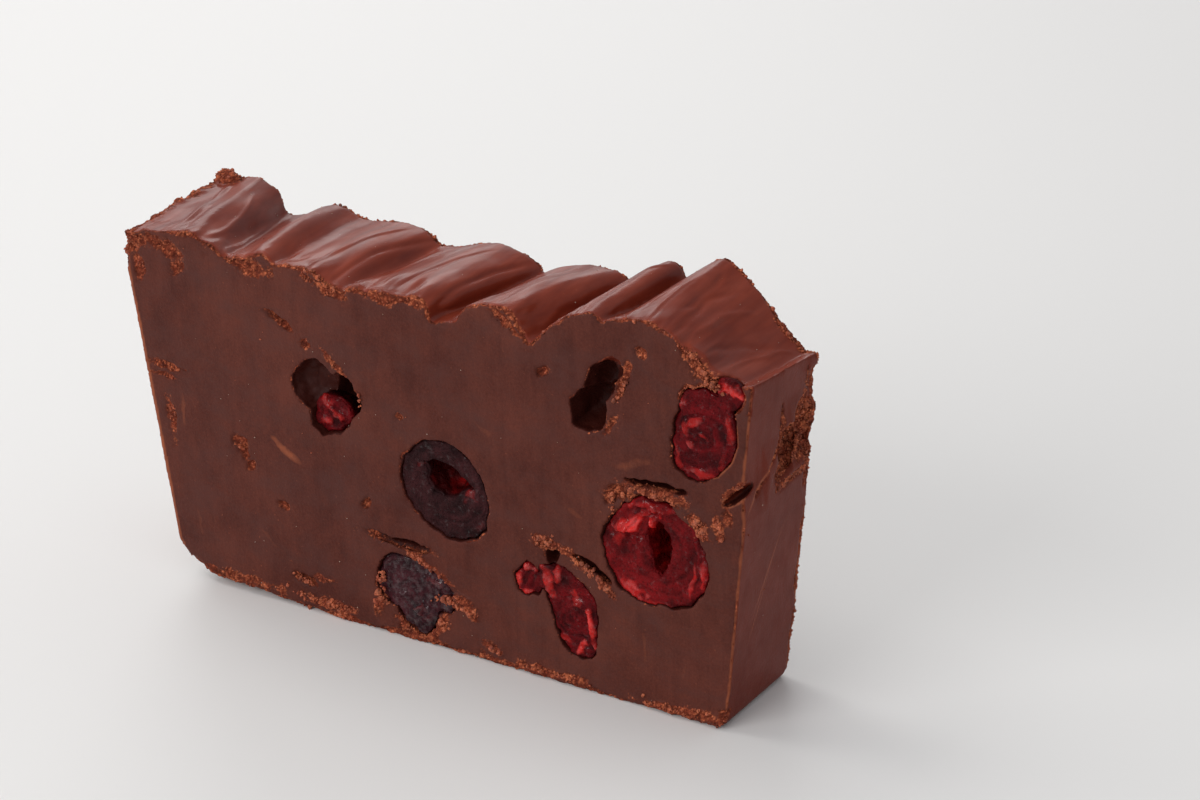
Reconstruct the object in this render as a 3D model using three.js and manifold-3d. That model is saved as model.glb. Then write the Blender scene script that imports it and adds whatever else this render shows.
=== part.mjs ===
// Chocolate cherry fudge: one slice, standing on its flat base, with a spatula-swirled top
// and six pitted cherries that the knife has cut through.
// Millimetres, +Z up. The length runs along X and the cut front face looks towards -Y.
// The slice is drawn with x = 0 at the front face's lower left corner, y = 0 on the front
// cut and z = 0 on the base; the group then centres it over the middle of its own box.

import * as THREE from 'three';
import { mergeVertices } from 'three/addons/utils/BufferGeometryUtils.js';
import Module from 'manifold-3d';

const wasm = await Module();
wasm.setup();

// ---------------------------------------------------------------- driving dimensions

const BASE_LENGTH = 112;
const THICKNESS_LEFT = 28.5;
const THICKNESS_RIGHT = 21;
const LEFT_LEAN = 0.13;
const RIGHT_LEAN = 0.1;

const LEFT_SIDE_BOTTOM = 6.8;
const RIGHT_CORNER_RADIUS = 2.2;

// The mould's corner under the left end, from the side down to where the base lies flat.
const LEFT_TOE = [[-0.9, 6.8], [0.4, 5.1], [3.2, 2.4], [8, 1.3], [17, 0.8], [26, 0.3], [33, 0]];

// The upper part of the right end is set back a little above a slanting step.
const STEP_DEPTH = 0.9;
const STEP_HEIGHT_FRONT = 38.8;
const STEP_HEIGHT_REAR = 57;
const STEP_SOFTNESS = 2;

// Lines of the swirled top, from the left end to the right end. Each runs from the front cut
// to the rear cut. front and rear are [x, z], and bow is how far the middle of the line
// moves, as [dx, dz]. A fold is a sharp valley between two strokes of the spatula.
const SWIRL_LINES = [
  { front: [-6.8, 64.6], rear: [-7.9, 65.3], bow: [0, 0.3], fold: true },
  { front: [0.2, 66.1], rear: [-4.4, 65.6], bow: [0, -0.4] },
  { front: [7.3, 67.3], rear: [0.9, 66.6], bow: [0, 0.2], fold: true },
  { front: [10.8, 65.5], rear: [5.0, 64.6], bow: [0.4, 0.2] },
  { front: [13.9, 64.2], rear: [6.6, 61.0], bow: [0, -0.6] },
  { front: [18.2, 64.9], rear: [11.0, 61.8], bow: [0, 0] },
  { front: [22.6, 66.5], rear: [18.5, 65.2], bow: [-0.6, 0.9] },
  { front: [25.0, 65.0], rear: [24.0, 63.9], bow: [-0.4, -0.2] },
  { front: [30.0, 65.2], rear: [32.5, 65.0], bow: [0, 0.4] },
  { front: [34.9, 64.2], rear: [38.8, 64.6], bow: [0.6, 0.8] },
  { front: [37.9, 62.6], rear: [41.7, 62.7], bow: [0.3, -0.6], fold: true },
  { front: [41.5, 63.7], rear: [46.0, 63.6], bow: [0, 0] },
  { front: [48.0, 64.5], rear: [51.8, 65.5], bow: [0, 0.6] },
  { front: [54.4, 64.9], rear: [58.8, 65.2], bow: [0.4, 0.5] },
  { front: [55.9, 63.3], rear: [62.2, 64.0], bow: [0.6, 0] },
  { front: [56.3, 61.3], rear: [63.5, 62.4], bow: [-0.4, -0.8], fold: true },
  { front: [60.4, 61.9], rear: [67.0, 64.2], bow: [0, 0] },
  { front: [63.8, 65.2], rear: [70.5, 65.5], bow: [0, 0.4] },
  { front: [71.4, 66.8], rear: [78.6, 66.5], bow: [0, 0.9] },
  { front: [74.0, 64.4], rear: [80.8, 65.6], bow: [0.4, 0] },
  { front: [76.1, 61.6], rear: [82.0, 64.6], bow: [0, -0.8], fold: true },
  { front: [82.0, 66.8], rear: [85.6, 66.9], bow: [-0.4, 0] },
  { front: [87.2, 69.3], rear: [89.6, 70.7], bow: [0, 0.7] },
  { front: [88.9, 69.1], rear: [91.6, 70.2], bow: [0.5, 0.4] },
  { front: [89.8, 68.6], rear: [92.8, 68.3], bow: [0, -1.4], fold: true },
  { front: [93.3, 69.3], rear: [96.0, 70.9], bow: [0, 0.2] },
  { front: [98.0, 70.0], rear: [100.3, 73.7], bow: [0, 0.3] },
  { front: [103.6, 68.0], rear: [104.8, 70.9], bow: [0, -0.5] },
  { front: [107.0, 66.3], rear: [109.2, 67.0], bow: [0, -1.0] },
  { front: [109.6, 63.6], rear: [112.4, 63.9], bow: [0, -0.6] },
  { front: [115.0, 62.3], rear: [115.6, 61.0], bow: [0, -0.4], fold: true },
  { front: [117.6, 63.0], rear: [118.0, 61.3], bow: [0, 0.3], fold: true },
];

// Mesh fineness.
const DEPTH_STEPS = 12;
const SAMPLES_PER_LINE = 3;
const SIDE_STEPS = 10;
const BASE_STEPS = 10;
const CORNER_STEPS = 4;
const CHERRY_FINENESS = 17;
const HOLLOW_FINENESS = 12;
const RINGS_PER_SEGMENT = 0.6;

// Room left round a cherry, and how far its cut face lies behind the front cut.
const CHERRY_GAP = 0.35;
const CHERRY_RECESS = 0.2;

// Longer than the slice reaches to either side of where it is drawn from.
const BEYOND = 400;

// Cherries. A lump is an ellipsoid with soft lobes: at is its middle on the front cut
// [x, z], radii are [x, depth, z], turn is degrees in the front view, lobes is how uneven
// it is, and phase sets where the lobes lie. A pit is the hollow that the stone has left.
const CHERRIES = {
  cherry_dark: {
    colour: 0x3a2024,
    lumps: [{ at: [57.9, 30.7], radii: [8.1, 8.5, 9.3], turn: 40, lobes: 0.03, phase: 0.4 }],
    pit: { at: [58.0, 32.5], radii: [5.0, 6.5, 3.4], turn: -8, lobes: 0.16, phase: 0.8 },
  },
  cherry_red: {
    colour: 0x8c1419,
    lumps: [{ at: [99.1, 28.9], radii: [10.0, 8.5, 9.4], turn: -16, lobes: 0.03, phase: 2.1 }],
    pit: { at: [99.8, 30.3], radii: [2.7, 6.5, 5.2], turn: 6, lobes: 0.1, phase: 1.4 },
  },
  cherry_upper: {
    colour: 0x6e1016,
    lumps: [
      { at: [108.3, 52.4], radii: [5.6, 7, 8.3], turn: -18, lobes: 0.04, phase: 0.9 },
      { at: [113.2, 60.6], radii: [2.3, 3.0, 2.6], turn: 40, lobes: 0.05, phase: 2.6 },
    ],
  },
  cherry_bottom: {
    colour: 0x33191f,
    lumps: [
      { at: [50.6, 10.4], radii: [8.0, 7, 5.0], turn: -6, lobes: 0.06, phase: 1.7 },
      { at: [50.8, 5.4], radii: [3.8, 5, 3.4], turn: 0, lobes: 0.05, phase: 0.2 },
    ],
  },
  cherry_curl: {
    colour: 0x7a141a,
    lumps: [
      { at: [82.9, 13.9], radii: [4.4, 6, 8.1], turn: 13, lobes: 0.05, phase: 0.6 },
      { at: [79.6, 19.4], radii: [3.2, 4, 2.6], turn: 12, lobes: 0.04, phase: 1.1 },
      { at: [74.1, 18.2], radii: [2.5, 3.5, 2.7], turn: 0, lobes: 0.05, phase: 3.0 },
    ],
    bridge: { at: [76.6, 18.6], radii: [2.6, 2.6, 1.2], turn: 8, lobes: 0.03, phase: 0 },
  },
  cherry_pocket: {
    colour: 0x6a1218,
    lumps: [{ at: [34.5, 38.9], radii: [4.0, 7, 3.3], turn: 14, lobes: 0.06, phase: 1.9 }],
    recess: 1.0,
  },
};

// Hollows in the fudge where a cherry has come away or the mass has torn.
const HOLLOWS = [
  // pocket over the small cherry: a shallow funnel, and a deep end at its right
  { at: [32.0, 43.9], radii: [4.9, 4.2, 5.2], turn: 30, lobes: 0.05, phase: 0.3 },
  { at: [37.2, 42.6], radii: [3.7, 9.5, 5.0], turn: -12, lobes: 0.05, phase: 1.2 },
  // long hooked hole under the fourth swirl
  { at: [91.6, 60.2], radii: [1.9, 3.2, 2.0], turn: 0, lobes: 0.06, phase: 0.5 },
  { at: [89.2, 57.2], radii: [2.9, 6.5, 4.0], turn: -28, lobes: 0.05, phase: 1.5 },
  { at: [87.0, 52.2], radii: [3.5, 7.5, 4.6], turn: -24, lobes: 0.05, phase: 2.5 },
  // cracks: over the red cherry, between it and the curled one, and over the bottom one
  { at: [99.2, 41.4], radii: [6.4, 3.6, 0.8], turn: 3, lobes: 0.04, phase: 1.0 },
  { at: [86.6, 23.4], radii: [4.6, 3.8, 0.9], turn: -20, lobes: 0.04, phase: 2.0 },
  { at: [79.0, 23.6], radii: [1.6, 3.6, 1.5], turn: 0, lobes: 0.08, phase: 0.0 },
  { at: [48.4, 18.4], radii: [6.8, 2.8, 0.7], turn: -3, lobes: 0.04, phase: 0.7 },
  // split flap that runs round the front right corner
  { at: [115.0, 43.9], radii: [4.4, 3.4, 0.9], turn: 44, lobes: 0.02, phase: 0.0 },
];

// Torn places in the right end, over its slanting step, with [x, y, z] middles. They leave
// a crumbled ridge standing at the rear edge.
const BREAKS = [
  { centre: [117.2, 13.2, 47.4], radii: [2.8, 3.6, 4.4], turn: 0, lobes: 0.1, phase: 0.6 },
  { centre: [118.6, 19.4, 55.2], radii: [2.0, 3.4, 4.2], turn: 0, lobes: 0.1, phase: 1.6 },
  { centre: [117.7, 16.6, 51.4], radii: [2.1, 2.8, 3.4], turn: 0, lobes: 0.1, phase: 2.6 },
];

// A lump of fudge that was dragged up at the rear left corner of the top.
const CORNER_LUMP = {
  centre: [-4.9, 26.4, 65.3],
  radii: [3.1, 2.2, 2.0],
  turn: 0,
  lobes: 0.08,
  phase: 1,
};

const FUDGE_COLOUR = 0x552f29;
const FUDGE_ROUGHNESS = 0.5;
const CHERRY_ROUGHNESS = 0.25;

// ---------------------------------------------------------------- solids and meshes

// The geometry with its positions alone, and each shared corner held once.
function withSharedCorners(geometry) {
  const bare = geometry.clone();
  bare.deleteAttribute('normal');
  bare.deleteAttribute('uv');
  return mergeVertices(bare);
}

function toManifold(geometry) {
  const merged = withSharedCorners(geometry);
  return new wasm.Manifold(new wasm.Mesh({
    numProp: 3,
    vertProperties: new Float32Array(merged.attributes.position.array),
    triVerts: new Uint32Array(merged.index.array),
  }));
}

function toGeometry(solid) {
  const mesh = solid.getMesh();
  const geometry = new THREE.BufferGeometry();
  geometry.setAttribute('position', new THREE.BufferAttribute(mesh.vertProperties, 3));
  geometry.setIndex(new THREE.BufferAttribute(mesh.triVerts, 1));
  geometry.computeVertexNormals();
  return geometry;
}

// An ellipsoid with soft lobes, grown by a margin, as a solid.
function lumpSolid({ centre, radii, turn, lobes, phase }, fineness, margin = 0) {
  const rings = Math.round(fineness * RINGS_PER_SEGMENT);
  const sphere = withSharedCorners(new THREE.SphereGeometry(1, fineness, rings));
  const place = sphere.attributes.position;
  const point = new THREE.Vector3();
  for (let i = 0; i < place.count; i += 1) {
    point.fromBufferAttribute(place, i);
    const around = Math.atan2(point.z, point.x);
    const flatness = Math.hypot(point.x, point.z);
    const wave = Math.sin(3 * around + phase) + 0.6 * Math.sin(5 * around + 2 * phase);
    point.multiplyScalar(1 + lobes * wave * flatness * flatness);
    place.setXYZ(i, point.x, point.y, point.z);
  }
  sphere.scale(radii[0] + margin, radii[1] + margin, radii[2] + margin);
  sphere.rotateY(-THREE.MathUtils.degToRad(turn));
  sphere.translate(...centre);
  return toManifold(sphere);
}

// A lump whose middle lies on the front cut.
function onFrontCut(lump) {
  return { ...lump, centre: [lump.at[0], 0, lump.at[1]] };
}

function union(solids) {
  return solids.reduce((whole, solid) => whole.add(solid));
}

// ---------------------------------------------------------------- the slice of fudge

// How thick the slice is where its length has reached x.
function thicknessAt(x) {
  return THICKNESS_LEFT + (THICKNESS_RIGHT - THICKNESS_LEFT) * (x / BASE_LENGTH);
}

// Where a swirl line lies at a depth from 0, the front cut, to 1, the rear cut.
function swirlPoint(line, depth) {
  const middle = 4 * depth * (1 - depth);
  return new THREE.Vector3(
    THREE.MathUtils.lerp(line.front[0], line.rear[0], depth) + line.bow[0] * middle,
    0,
    THREE.MathUtils.lerp(line.front[1], line.rear[1], depth) + line.bow[1] * middle,
  );
}

// The top profile from left to right: smooth strokes that meet in sharp folds.
function topProfile(depth) {
  const profile = [];
  let stroke = [];
  for (const line of SWIRL_LINES) {
    stroke.push(swirlPoint(line, depth));
    if (line.fold && stroke.length > 1) {
      const curve = new THREE.CatmullRomCurve3(stroke, false, 'centripetal');
      const steps = (stroke.length - 1) * SAMPLES_PER_LINE;
      for (let i = profile.length ? 1 : 0; i <= steps; i += 1) {
        const at = curve.getPoint(i / steps);
        profile.push([at.x, at.z]);
      }
      stroke = [stroke[stroke.length - 1]];
    }
  }
  return profile;
}

// The right end leans out, and is set back above its slanting step.
function rightSideX(z, depth) {
  const stepHeight = THREE.MathUtils.lerp(STEP_HEIGHT_FRONT, STEP_HEIGHT_REAR, depth);
  const above = THREE.MathUtils.smoothstep(z, stepHeight, stepHeight + STEP_SOFTNESS);
  return BASE_LENGTH + RIGHT_LEAN * z - STEP_DEPTH * above;
}

// The base from the toe of the left end to the small round corner of the right end.
function baseProfile() {
  const toe = LEFT_TOE.map(([x, z]) => new THREE.Vector3(x, 0, z));
  const curve = new THREE.CatmullRomCurve3(toe, false, 'centripetal');
  const profile = curve.getPoints(BASE_STEPS).map((at) => [at.x, Math.max(at.z, 0)]);
  const flatEnd = BASE_LENGTH - RIGHT_CORNER_RADIUS;
  const flatStart = profile[profile.length - 1][0];
  for (let i = 1; i <= BASE_STEPS; i += 1) {
    profile.push([THREE.MathUtils.lerp(flatStart, flatEnd, i / BASE_STEPS), 0]);
  }
  for (let i = 1; i <= CORNER_STEPS; i += 1) {
    const angle = (i / CORNER_STEPS) * (Math.PI / 2);
    profile.push([
      flatEnd + RIGHT_CORNER_RADIUS * Math.sin(angle),
      RIGHT_CORNER_RADIUS * (1 - Math.cos(angle)),
    ]);
  }
  return profile;
}

// One whole outline at a depth, anticlockwise in the front view.
function sliceOutline(depth) {
  const outline = baseProfile();
  const top = topProfile(depth).reverse();
  const rightTop = top[0];
  const leftTop = top[top.length - 1];
  const rightBottomZ = RIGHT_CORNER_RADIUS;
  const reach = rightTop[0] - rightSideX(rightTop[1], depth);
  for (let i = 1; i < SIDE_STEPS; i += 1) {
    const up = i / SIDE_STEPS;
    const z = THREE.MathUtils.lerp(rightBottomZ, rightTop[1], up);
    outline.push([rightSideX(z, depth) + reach * up ** 3, z]);
  }
  outline.push(...top);
  for (let i = 1; i < SIDE_STEPS; i += 1) {
    const z = THREE.MathUtils.lerp(leftTop[1], LEFT_SIDE_BOTTOM, i / SIDE_STEPS);
    outline.push([-LEFT_LEAN * z, z]);
  }
  return outline;
}

// The slice as a loft of outlines from the front cut to the rear cut, with both cuts flat.
function sliceSolid() {
  const positions = [];
  const index = [];
  const count = sliceOutline(0).length;
  for (let step = 0; step <= DEPTH_STEPS; step += 1) {
    const depth = step / DEPTH_STEPS;
    for (const [x, z] of sliceOutline(depth)) {
      positions.push(x, depth * thicknessAt(x), z);
    }
  }
  for (let step = 0; step < DEPTH_STEPS; step += 1) {
    for (let i = 0; i < count; i += 1) {
      const next = (i + 1) % count;
      const near = step * count;
      const far = near + count;
      index.push(near + i, far + i, near + next);
      index.push(near + next, far + i, far + next);
    }
  }
  for (const [depth, start] of [[0, 0], [1, DEPTH_STEPS * count]]) {
    const face = sliceOutline(depth).map(([x, z]) => new THREE.Vector2(x, z));
    for (const [a, b, c] of THREE.ShapeUtils.triangulateShape(face, [])) {
      index.push(...(depth === 0 ? [a, b, c] : [start + a, start + c, start + b]));
    }
  }
  const geometry = new THREE.BufferGeometry();
  geometry.setAttribute('position', new THREE.Float32BufferAttribute(positions, 3));
  geometry.setIndex(index);
  return toManifold(geometry);
}

// ---------------------------------------------------------------- cherries

function cherryLumps(cherry) {
  const lumps = [...cherry.lumps];
  if (cherry.bridge) {
    lumps.push(cherry.bridge);
  }
  return lumps.map(onFrontCut);
}

// A cherry cut flat by the knife, with the hollow of its stone where it shows.
function cherrySolid(cherry) {
  const recess = cherry.recess ?? CHERRY_RECESS;
  const behindCut = new THREE.BoxGeometry(BEYOND, BEYOND, BEYOND);
  behindCut.translate(0, BEYOND / 2 + recess, 0);
  const whole = union(cherryLumps(cherry).map((lump) => (
    lumpSolid(lump, CHERRY_FINENESS)
  )));
  const half = whole.intersect(toManifold(behindCut));
  if (!cherry.pit) {
    return half;
  }
  return half.subtract(lumpSolid(onFrontCut(cherry.pit), HOLLOW_FINENESS));
}

function cherrySocket(cherry) {
  return union(cherryLumps(cherry).map((lump) => (
    lumpSolid(lump, CHERRY_FINENESS, CHERRY_GAP)
  )));
}

// ---------------------------------------------------------------- the whole slice

function fudgeSolid() {
  const sockets = Object.values(CHERRIES).map(cherrySocket);
  const hollows = HOLLOWS.map((hollow) => lumpSolid(onFrontCut(hollow), HOLLOW_FINENESS));
  const breaks = BREAKS.map((broken) => lumpSolid(broken, HOLLOW_FINENESS));
  return sliceSolid()
    .add(lumpSolid(CORNER_LUMP, HOLLOW_FINENESS))
    .subtract(union([...sockets, ...hollows, ...breaks]));
}

const slice = new THREE.Group();

function addPiece(name, solid, color, roughness) {
  const material = new THREE.MeshStandardMaterial({ color, roughness, metalness: 0 });
  const mesh = new THREE.Mesh(toGeometry(solid), material);
  mesh.name = name;
  slice.add(mesh);
}

addPiece('fudge', fudgeSolid(), FUDGE_COLOUR, FUDGE_ROUGHNESS);
for (const [name, cherry] of Object.entries(CHERRIES)) {
  addPiece(name, cherrySolid(cherry), cherry.colour, CHERRY_ROUGHNESS);
}

// The origin is on the surface that the slice stands on, under the middle of its box.
const box = new THREE.Box3().setFromObject(slice);
const middle = box.getCenter(new THREE.Vector3());
slice.position.set(-middle.x, -middle.y, -box.min.z);

const group = new THREE.Group();
group.add(slice);

export default group;
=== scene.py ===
"""One upright slice of chocolate cherry fudge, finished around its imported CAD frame.

Metres, in the frame's own axes: +X along the slice, -Y out of the cut front face, +Z up.
Places on the slice are given in millimetres in the slice's own drawing: x from the front
face's lower left corner, z up from the base, and depth back from the front cut.
"""

import math

import bpy
import numpy as np
from mathutils import Matrix, Vector, kdtree
from mathutils.bvhtree import BVHTree


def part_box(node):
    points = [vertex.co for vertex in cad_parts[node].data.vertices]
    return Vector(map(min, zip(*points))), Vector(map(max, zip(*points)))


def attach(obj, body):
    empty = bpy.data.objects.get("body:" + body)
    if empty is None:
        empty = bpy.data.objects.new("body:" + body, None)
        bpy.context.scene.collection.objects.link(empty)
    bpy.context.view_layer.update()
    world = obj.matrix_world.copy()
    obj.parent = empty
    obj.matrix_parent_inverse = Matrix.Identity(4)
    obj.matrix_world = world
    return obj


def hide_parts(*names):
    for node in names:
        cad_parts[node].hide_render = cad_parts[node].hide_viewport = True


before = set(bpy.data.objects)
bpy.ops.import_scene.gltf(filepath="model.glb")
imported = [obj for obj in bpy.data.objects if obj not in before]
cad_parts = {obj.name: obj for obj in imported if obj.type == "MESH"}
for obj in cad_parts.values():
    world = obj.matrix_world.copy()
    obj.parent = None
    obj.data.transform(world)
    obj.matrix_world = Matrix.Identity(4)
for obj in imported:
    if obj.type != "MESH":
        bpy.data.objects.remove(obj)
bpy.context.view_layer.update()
bpy.ops.object.select_all(action="DESELECT")

# ---- sizes

MM = 0.001
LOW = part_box("fudge")[0]

BASE_LENGTH = 112.0
LEFT_OVERHANG = 7.9
THICK_LEFT = 28.5
THICK_RIGHT = 21.0
END_START = 110.5
LEFT_END = -7.2
RIGHT_END = 116.9
END_BLEND = (110.0, 112.0)
SKIN_START = 59.5

BODY_VOXEL = 0.3 * MM
CHERRY_VOXEL = 0.17 * MM

SEED_BODY = 11
SEED_CRUMBS = 29
SEED_CHERRIES = 47


CORNER = np.array([LOW.x + LEFT_OVERHANG * MM, LOW.y, 0.0])


def drawn(points):
    """Frame points in metres as drawing points in millimetres: x, depth, z."""
    return (np.asarray(points) - CORNER) / MM


def placed(x, depth, z):
    """A drawing point in millimetres as a frame point in metres."""
    return Vector((LOW.x + (LEFT_OVERHANG + x) * MM, LOW.y + depth * MM, z * MM))


def thickness(x):
    return THICK_LEFT + (THICK_RIGHT - THICK_LEFT) * x / BASE_LENGTH


# ---- smooth noise on points


def ease(low, high, value):
    """0 below low, 1 above high, and a smooth step between."""
    t = np.clip((value - low) / (high - low), 0.0, 1.0)
    return t * t * (3.0 - 2.0 * t)


def lattice(cell, seed):
    """A repeatable number from 0 to 1 for each whole-number cell."""
    key = cell[..., 0] * 374761393 + cell[..., 1] * 668265263 + cell[..., 2] * 2147483647
    key = (key + seed * 1274126177) & 0xFFFFFFFF
    key = ((key ^ (key >> 13)) * 1274126177) & 0xFFFFFFFF
    key = ((key ^ (key >> 16)) * 2246822519) & 0xFFFFFFFF
    return ((key ^ (key >> 15)) & 0xFFFFFF) / float(0xFFFFFF)


def swell(points, size, seed):
    """Soft noise from -1 to 1 with bumps about size apart; size may differ by axis."""
    place = points / np.asarray(size, float)
    cell = np.floor(place).astype(np.int64)
    part = place - cell
    part = part * part * (3.0 - 2.0 * part)
    total = np.zeros(len(points))
    for corner in np.ndindex(2, 2, 2):
        corner = np.array(corner)
        weight = np.prod(np.where(corner == 1, part, 1.0 - part), axis=1)
        total += weight * lattice(cell + corner, seed)
    return total * 2.0 - 1.0


def rough(points, size, seed, octaves=3):
    """Swell with finer swells laid on it."""
    total = np.zeros(len(points))
    for octave in range(octaves):
        total += swell(points, np.asarray(size, float) / 2**octave, seed + octave) / 2**octave
    return total / (2.0 - 2.0 ** (1 - octaves))


def grains(points, size, seed):
    """Rounded grains about size across: 1 at a grain's middle, 0 in the gaps between."""
    place = points / size
    cell = np.floor(place).astype(np.int64)
    nearest = np.full(len(points), 9.0)
    second = np.full(len(points), 9.0)
    for step in np.ndindex(3, 3, 3):
        other = cell + (np.array(step) - 1)
        seedpoint = np.stack([lattice(other, seed + k) for k in range(3)], axis=1)
        gap = np.linalg.norm(other + seedpoint - place, axis=1)
        second = np.minimum(second, np.maximum(nearest, gap))
        nearest = np.minimum(nearest, gap)
    return np.clip(second - nearest, 0.0, 1.0)


def unevenness(points):
    """A sideways shift near the front cut, shared by the fudge and the cherries in it."""
    x, depth, z = points.T
    flat = np.stack([x, 0.25 * depth, z], axis=1)
    side = 0.42 * swell(flat, 2.7, SEED_BODY + 60) + 0.22 * swell(flat, 1.1, SEED_BODY + 61)
    rise = 0.42 * swell(flat, 2.7, SEED_BODY + 62) + 0.22 * swell(flat, 1.1, SEED_BODY + 63)
    inner = (1.0 - ease(3.0, 9.0, depth)) * ease(0.0, 2.5, z)
    inner *= ease(0.3, 4.0, x + 0.13 * z) * (1.0 - ease(110.5, 113.5, x))
    return np.stack([side * inner, np.zeros(len(x)), rise * inner], axis=1)


# ---- mesh helpers


def only(piece):
    bpy.ops.object.select_all(action="DESELECT")
    piece.select_set(True)
    bpy.context.view_layer.objects.active = piece


def copy_of_node(node, name):
    """A free copy of a CAD node's mesh, with its loose triangles joined."""
    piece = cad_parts[node].copy()
    piece.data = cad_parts[node].data.copy()
    piece.name = name
    piece.data.name = name
    for key in list(piece.keys()):
        del piece[key]
    piece.parent = None
    bpy.context.scene.collection.objects.link(piece)
    piece.data.materials.clear()
    for attribute in [a for a in piece.data.attributes if a.name.startswith("custom")]:
        piece.data.attributes.remove(attribute)
    only(piece)
    bpy.ops.object.mode_set(mode="EDIT")
    bpy.ops.mesh.select_all(action="SELECT")
    bpy.ops.mesh.remove_doubles(threshold=0.001 * MM)
    bpy.ops.object.mode_set(mode="OBJECT")
    return piece


def apply_modifier(piece, kind, **values):
    only(piece)
    modifier = piece.modifiers.new(kind.title(), kind)
    for name, value in values.items():
        setattr(modifier, name, value)
    bpy.ops.object.modifier_apply(modifier=modifier.name)


def values_of(items, key, width=3):
    """One value or vector of each item of a mesh, as an array."""
    flat = np.empty(len(items) * width)
    items.foreach_get(key, flat)
    return flat.reshape(-1, width) if width > 1 else flat


def points_of(piece):
    return values_of(piece.data.vertices, "co")


def normals_of(piece):
    return values_of(piece.data.vertices, "normal")


def move_to(piece, points):
    piece.data.vertices.foreach_set("co", np.ascontiguousarray(points).ravel())
    piece.data.update()


def write_mask(piece, name, values):
    layer = piece.data.attributes.new(name, "FLOAT", "POINT")
    layer.data.foreach_set("value", np.clip(values, 0.0, 1.0).astype(np.float32))


def tree_of(points):
    """A tree that finds the nearest of some points."""
    tree = kdtree.KDTree(len(points))
    for index, point in enumerate(points):
        tree.insert(point, index)
    tree.balance()
    return tree


# ---- the plain CAD surface


class PlainSlice:
    """The CAD slice as a guide: where its cuts, skin, sides and hollows lie."""

    FRONT, REAR, TOP, SIDE, HOLLOW = range(5)

    def __init__(self, piece):
        mesh = piece.data
        mesh.calc_loop_triangles()
        corners = drawn([v.co for v in mesh.vertices])
        faces = [tuple(t.vertices) for t in mesh.loop_triangles]
        self.tree = BVHTree.FromPolygons([Vector(c) for c in corners], faces)
        self.zone = self.find_zones(corners, np.array(faces))
        self.front_rim, self.rear_rim = self.find_rims(corners, faces)

    def find_zones(self, corners, faces):
        a, b, c = (corners[faces[:, k]] for k in range(3))
        normal = np.cross(b - a, c - a)
        normal /= np.linalg.norm(normal, axis=1, keepdims=True) + 1e-12
        facing_x, facing_depth, facing_up = normal.T
        x, depth, z = ((a + b + c) / 3.0).T
        zone = np.full(len(faces), self.SIDE)
        zone[(facing_up > -0.2) & (z > SKIN_START)] = self.TOP
        zone[((x < LEFT_END) | (x > RIGHT_END)) & (np.abs(facing_x) > 0.8)] = self.SIDE
        pocket = (x > 1.0) & (x < END_START) & (z > 1.6) & (z < 60.5)
        slit = (x >= END_START) & (depth < 5.0) & (facing_x < 0.6) & (z > 40.5) & (z < 49.5)
        torn = (x > END_START) & (z > 41.0) & (z < SKIN_START) & (depth > 9.0) & (facing_x < 0.97)
        zone[pocket | slit | torn] = self.HOLLOW
        zone[(np.abs(depth) < 0.02) & (facing_depth < -0.99)] = self.FRONT
        zone[(np.abs(depth - thickness(x)) < 0.05) & (facing_depth > 0.99)] = self.REAR
        return zone

    def find_rims(self, corners, faces):
        """Trees of points along the edges where the two cuts meet anything else."""
        owners = {}
        for index, face in enumerate(faces):
            for k in range(3):
                edge = tuple(sorted((face[k], face[(k + 1) % 3])))
                owners.setdefault(edge, []).append(index)
        rims = {self.FRONT: [], self.REAR: []}
        for edge, pair in owners.items():
            zones = {self.zone[index] for index in pair}
            for cut, points in rims.items():
                if cut in zones and len(zones) == 2:
                    start, end = corners[edge[0]], corners[edge[1]]
                    steps = max(2, int(np.linalg.norm(end - start) / 0.25))
                    points.extend(start + (end - start) * k / steps for k in range(steps))
        return [tree_of(points) for points in rims.values()]

    def read(self, points):
        """For each drawing point: its zone, and its distance to each cut's rim."""
        zone = np.empty(len(points), int)
        front = np.empty(len(points))
        rear = np.empty(len(points))
        for index, point in enumerate(points):
            place = Vector(point)
            zone[index] = self.zone[self.tree.find_nearest(place)[2]]
            front[index] = self.front_rim.find(place)[2]
            rear[index] = self.rear_rim.find(place)[2]
        return zone, front, rear


# ---- torn places on the front

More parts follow.
